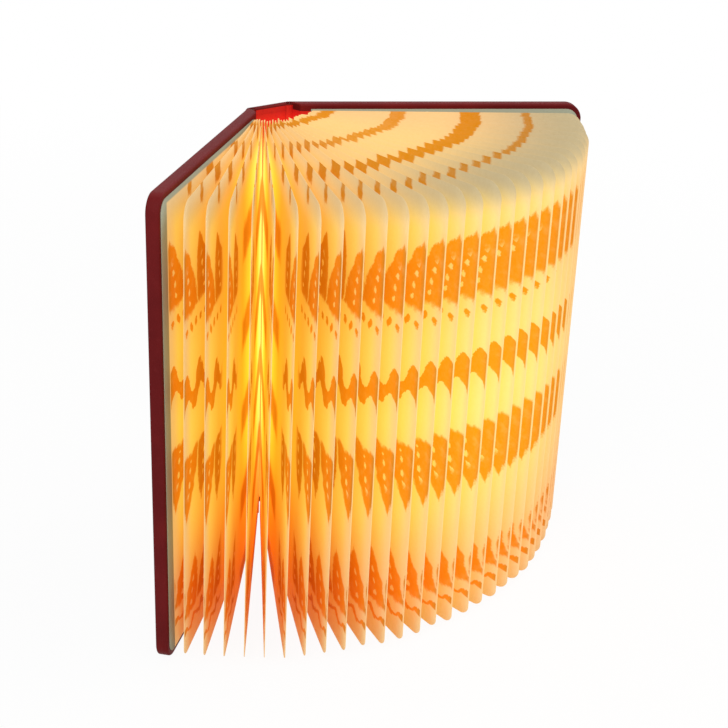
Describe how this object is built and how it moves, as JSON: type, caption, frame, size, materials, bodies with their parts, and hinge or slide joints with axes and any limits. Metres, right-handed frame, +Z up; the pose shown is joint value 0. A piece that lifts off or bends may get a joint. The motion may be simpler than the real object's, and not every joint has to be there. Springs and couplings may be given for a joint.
{
  "type": "folding book lamp",
  "caption": "Cordless lamp in the form of a hardback book: covers hinge on a spine strip and fan out an accordion of lit paper pleats.",
  "frame": {"origin": "middle of the foot of the spine strip, on the surface that the lamp stands on", "axes": "+Z up along the spine, +X along the width of the spine strip towards the back cover, -Y towards the middle of the page fan"},
  "size_m": [0.2626, 0.1514, 0.215],
  "materials": {
    "greyboard": "matte compressed board",
    "cover_cloth": "dark burgundy book cloth with a fine leather-like grain, low sheen",
    "red_lining": "bright red lining, satin",
    "page_paper": null,
    "foam_tape": "matte",
    "white_plastic": "matte moulded",
    "milky_plastic": "satin translucent, lit",
    "led_board_white": "white solder mask",
    "led_emitter": "lit",
    "cell_foil": "satin foil",
    "board_green": "green solder mask",
    "chip_black": "matte",
    "socket_metal": "bright",
    "magnet_metal": "nickel plated",
    "lead_red": "satin",
    "lead_yellow": "satin"
  },
  "bodies": {
    "spine": {"spine_board": "greyboard", "spine_cloth": "cover_cloth", "spine_lining": "red_lining", "bar_tape": "foam_tape", "bar_housing": "white_plastic", "bar_diffuser": "milky_plastic", "bar_top_cap": "white_plastic", "bar_bottom_cap": "white_plastic", "led_board": "led_board_white", "leds": "led_emitter", "battery_cells": "cell_foil", "charge_board": "board_green", "charge_chips": "chip_black", "usb_socket": "socket_metal", "hall_sensor": "chip_black", "battery_leads": "lead_red", "led_leads": "lead_yellow"},
    "front_cover": {"front_board": "greyboard", "front_cloth": "cover_cloth", "front_lining": "red_lining", "front_endpaper": "page_paper", "front_magnets": "magnet_metal", "trigger_magnet": "magnet_metal"},
    "back_cover": {"back_board": "greyboard", "back_cloth": "cover_cloth", "back_lining": "red_lining", "back_endpaper": "page_paper", "back_magnets": "magnet_metal"},
    "pleat_01": {"pleat_01": "page_paper"},
    "pleat_02": {"pleat_02": "page_paper"},
    "pleat_03": {"pleat_03": "page_paper"},
    "pleat_04": {"pleat_04": "page_paper"},
    "pleat_05": {"pleat_05": "page_paper"},
    "pleat_06": {"pleat_06": "page_paper"},
    "pleat_07": {"pleat_07": "page_paper"},
    "pleat_08": {"pleat_08": "page_paper"},
    "pleat_09": {"pleat_09": "page_paper"},
    "pleat_10": {"pleat_10": "page_paper"},
    "pleat_11": {"pleat_11": "page_paper"},
    "pleat_12": {"pleat_12": "page_paper"},
    "pleat_13": {"pleat_13": "page_paper"},
    "pleat_14": {"pleat_14": "page_paper"},
    "pleat_15": {"pleat_15": "page_paper"},
    "pleat_16": {"pleat_16": "page_paper"},
    "pleat_17": {"pleat_17": "page_paper"},
    "pleat_18": {"pleat_18": "page_paper"},
    "pleat_19": {"pleat_19": "page_paper"},
    "pleat_20": {"pleat_20": "page_paper"},
    "pleat_21": {"pleat_21": "page_paper"},
    "pleat_22": {"pleat_22": "page_paper"},
    "pleat_23": {"pleat_23": "page_paper"},
    "pleat_24": {"pleat_24": "page_paper"},
    "pleat_25": {"pleat_25": "page_paper"},
    "pleat_26": {"pleat_26": "page_paper"},
    "pleat_27": {"pleat_27": "page_paper"},
    "pleat_28": {"pleat_28": "page_paper"},
    "pleat_29": {"pleat_29": "page_paper"},
    "pleat_30": {"pleat_30": "page_paper"}
  },
  "joints": [
    {"name": "front_cover_hinge", "type": "hinge", "parent": "spine", "child": "front_cover", "pos_m": [-0.0117, 0.00105, 0], "axis": [0, 0, 1], "range_deg": [-132.3, 52]},
    {"name": "back_cover_hinge", "type": "hinge", "parent": "spine", "child": "back_cover", "pos_m": [0.0117, 0.00105, 0], "axis": [0, 0, -1], "range_deg": [-126.3, 58]},
    {"name": "pleat_01_fold", "type": "hinge", "parent": "spine", "child": "pleat_01", "pos_m": [-0.01117, 0.00105, 0], "axis": [0, 0, 1], "range_deg": [-126.36, 49.67]},
    {"name": "pleat_02_fold", "type": "hinge", "parent": "spine", "child": "pleat_02", "pos_m": [-0.0104, 0.00105, 0], "axis": [0, 0, 1], "range_deg": [-117.64, 46.25]},
    {"name": "pleat_03_fold", "type": "hinge", "parent": "spine", "child": "pleat_03", "pos_m": [-0.00963, 0.00105, 0], "axis": [0, 0, 1], "range_deg": [-108.93, 42.82]},
    {"name": "pleat_04_fold", "type": "hinge", "parent": "spine", "child": "pleat_04", "pos_m": [-0.00886, 0.00105, 0], "axis": [0, 0, 1], "range_deg": [-100.22, 39.4]},
    {"name": "pleat_05_fold", "type": "hinge", "parent": "spine", "child": "pleat_05", "pos_m": [-0.00809, 0.00105, 0], "axis": [0, 0, 1], "range_deg": [-91.5, 35.97]},
    {"name": "pleat_06_fold", "type": "hinge", "parent": "spine", "child": "pleat_06", "pos_m": [-0.00732, 0.00105, 0], "axis": [0, 0, 1], "range_deg": [-82.79, 32.55]},
    {"name": "pleat_07_fold", "type": "hinge", "parent": "spine", "child": "pleat_07", "pos_m": [-0.00655, 0.00105, 0], "axis": [0, 0, 1], "range_deg": [-74.08, 29.12]},
    {"name": "pleat_08_fold", "type": "hinge", "parent": "spine", "child": "pleat_08", "pos_m": [-0.00578, 0.00105, 0], "axis": [0, 0, 1], "range_deg": [-65.36, 25.7]},
    {"name": "pleat_09_fold", "type": "hinge", "parent": "spine", "child": "pleat_09", "pos_m": [-0.00501, 0.00105, 0], "axis": [0, 0, 1], "range_deg": [-56.65, 22.27]},
    {"name": "pleat_10_fold", "type": "hinge", "parent": "spine", "child": "pleat_10", "pos_m": [-0.00424, 0.00105, 0], "axis": [0, 0, 1], "range_deg": [-47.93, 18.85]},
    {"name": "pleat_11_fold", "type": "hinge", "parent": "spine", "child": "pleat_11", "pos_m": [-0.00347, 0.00105, 0], "axis": [0, 0, 1], "range_deg": [-39.22, 15.42]},
    {"name": "pleat_12_fold", "type": "hinge", "parent": "spine", "child": "pleat_12", "pos_m": [-0.0027, 0.00105, 0], "axis": [0, 0, 1], "range_deg": [-30.51, 12]},
    {"name": "pleat_13_fold", "type": "hinge", "parent": "spine", "child": "pleat_13", "pos_m": [-0.00193, 0.00105, 0], "axis": [0, 0, 1], "range_deg": [-21.79, 8.57]},
    {"name": "pleat_14_fold", "type": "hinge", "parent": "spine", "child": "pleat_14", "pos_m": [-0.00116, 0.00105, 0], "axis": [0, 0, 1], "range_deg": [-13.08, 5.15]},
    {"name": "pleat_15_fold", "type": "hinge", "parent": "spine", "child": "pleat_15", "pos_m": [-0.00039, 0.00105, 0], "axis": [0, 0, 1], "range_deg": [-4.37, 1.72]},
    {"name": "pleat_16_fold", "type": "hinge", "parent": "spine", "child": "pleat_16", "pos_m": [0.00039, 0.00105, 0], "axis": [0, 0, -1], "range_deg": [-4.17, 1.92]},
    {"name": "pleat_17_fold", "type": "hinge", "parent": "spine", "child": "pleat_17", "pos_m": [0.00116, 0.00105, 0], "axis": [0, 0, -1], "range_deg": [-12.49, 5.74]},
    {"name": "pleat_18_fold", "type": "hinge", "parent": "spine", "child": "pleat_18", "pos_m": [0.00193, 0.00105, 0], "axis": [0, 0, -1], "range_deg": [-20.81, 9.56]},
    {"name": "pleat_19_fold", "type": "hinge", "parent": "spine", "child": "pleat_19", "pos_m": [0.0027, 0.00105, 0], "axis": [0, 0, -1], "range_deg": [-29.12, 13.38]},
    {"name": "pleat_20_fold", "type": "hinge", "parent": "spine", "child": "pleat_20", "pos_m": [0.00347, 0.00105, 0], "axis": [0, 0, -1], "range_deg": [-37.44, 17.2]},
    {"name": "pleat_21_fold", "type": "hinge", "parent": "spine", "child": "pleat_21", "pos_m": [0.00424, 0.00105, 0], "axis": [0, 0, -1], "range_deg": [-45.76, 21.02]},
    {"name": "pleat_22_fold", "type": "hinge", "parent": "spine", "child": "pleat_22", "pos_m": [0.00501, 0.00105, 0], "axis": [0, 0, -1], "range_deg": [-54.08, 24.84]},
    {"name": "pleat_23_fold", "type": "hinge", "parent": "spine", "child": "pleat_23", "pos_m": [0.00578, 0.00105, 0], "axis": [0, 0, -1], "range_deg": [-62.4, 28.66]},
    {"name": "pleat_24_fold", "type": "hinge", "parent": "spine", "child": "pleat_24", "pos_m": [0.00655, 0.00105, 0], "axis": [0, 0, -1], "range_deg": [-70.72, 32.48]},
    {"name": "pleat_25_fold", "type": "hinge", "parent": "spine", "child": "pleat_25", "pos_m": [0.00732, 0.00105, 0], "axis": [0, 0, -1], "range_deg": [-79.03, 36.3]},
    {"name": "pleat_26_fold", "type": "hinge", "parent": "spine", "child": "pleat_26", "pos_m": [0.00809, 0.00105, 0], "axis": [0, 0, -1], "range_deg": [-87.35, 40.12]},
    {"name": "pleat_27_fold", "type": "hinge", "parent": "spine", "child": "pleat_27", "pos_m": [0.00886, 0.00105, 0], "axis": [0, 0, -1], "range_deg": [-95.67, 43.94]},
    {"name": "pleat_28_fold", "type": "hinge", "parent": "spine", "child": "pleat_28", "pos_m": [0.00963, 0.00105, 0], "axis": [0, 0, -1], "range_deg": [-103.99, 47.76]},
    {"name": "pleat_29_fold", "type": "hinge", "parent": "spine", "child": "pleat_29", "pos_m": [0.0104, 0.00105, 0], "axis": [0, 0, -1], "range_deg": [-112.31, 51.58]},
    {"name": "pleat_30_fold", "type": "hinge", "parent": "spine", "child": "pleat_30", "pos_m": [0.01117, 0.00105, 0], "axis": [0, 0, -1], "range_deg": [-120.63, 55.4]}
  ],
  "couplings": [
    {"joint": "pleat_01_fold", "follows": "front_cover_hinge", "ratio": 0.955},
    {"joint": "pleat_02_fold", "follows": "front_cover_hinge", "ratio": 0.88914},
    {"joint": "pleat_03_fold", "follows": "front_cover_hinge", "ratio": 0.82328},
    {"joint": "pleat_04_fold", "follows": "front_cover_hinge", "ratio": 0.75741},
    {"joint": "pleat_05_fold", "follows": "front_cover_hinge", "ratio": 0.69155},
    {"joint": "pleat_06_fold", "follows": "front_cover_hinge", "ratio": 0.62569},
    {"joint": "pleat_07_fold", "follows": "front_cover_hinge", "ratio": 0.55983},
    {"joint": "pleat_08_fold", "follows": "front_cover_hinge", "ratio": 0.49397},
    {"joint": "pleat_09_fold", "follows": "front_cover_hinge", "ratio": 0.4281},
    {"joint": "pleat_10_fold", "follows": "front_cover_hinge", "ratio": 0.36224},
    {"joint": "pleat_11_fold", "follows": "front_cover_hinge", "ratio": 0.29638},
    {"joint": "pleat_12_fold", "follows": "front_cover_hinge", "ratio": 0.23052},
    {"joint": "pleat_13_fold", "follows": "front_cover_hinge", "ratio": 0.16466},
    {"joint": "pleat_14_fold", "follows": "front_cover_hinge", "ratio": 0.098793},
    {"joint": "pleat_15_fold", "follows": "front_cover_hinge", "ratio": 0.032931},
    {"joint": "pleat_16_fold", "follows": "back_cover_hinge", "ratio": 0.032931},
    {"joint": "pleat_17_fold", "follows": "back_cover_hinge", "ratio": 0.098793},
    {"joint": "pleat_18_fold", "follows": "back_cover_hinge", "ratio": 0.16466},
    {"joint": "pleat_19_fold", "follows": "back_cover_hinge", "ratio": 0.23052},
    {"joint": "pleat_20_fold", "follows": "back_cover_hinge", "ratio": 0.29638},
    {"joint": "pleat_21_fold", "follows": "back_cover_hinge", "ratio": 0.36224},
    {"joint": "pleat_22_fold", "follows": "back_cover_hinge", "ratio": 0.4281},
    {"joint": "pleat_23_fold", "follows": "back_cover_hinge", "ratio": 0.49397},
    {"joint": "pleat_24_fold", "follows": "back_cover_hinge", "ratio": 0.55983},
    {"joint": "pleat_25_fold", "follows": "back_cover_hinge", "ratio": 0.62569},
    {"joint": "pleat_26_fold", "follows": "back_cover_hinge", "ratio": 0.69155},
    {"joint": "pleat_27_fold", "follows": "back_cover_hinge", "ratio": 0.75741},
    {"joint": "pleat_28_fold", "follows": "back_cover_hinge", "ratio": 0.82328},
    {"joint": "pleat_29_fold", "follows": "back_cover_hinge", "ratio": 0.88914},
    {"joint": "pleat_30_fold", "follows": "back_cover_hinge", "ratio": 0.955}
  ]
}
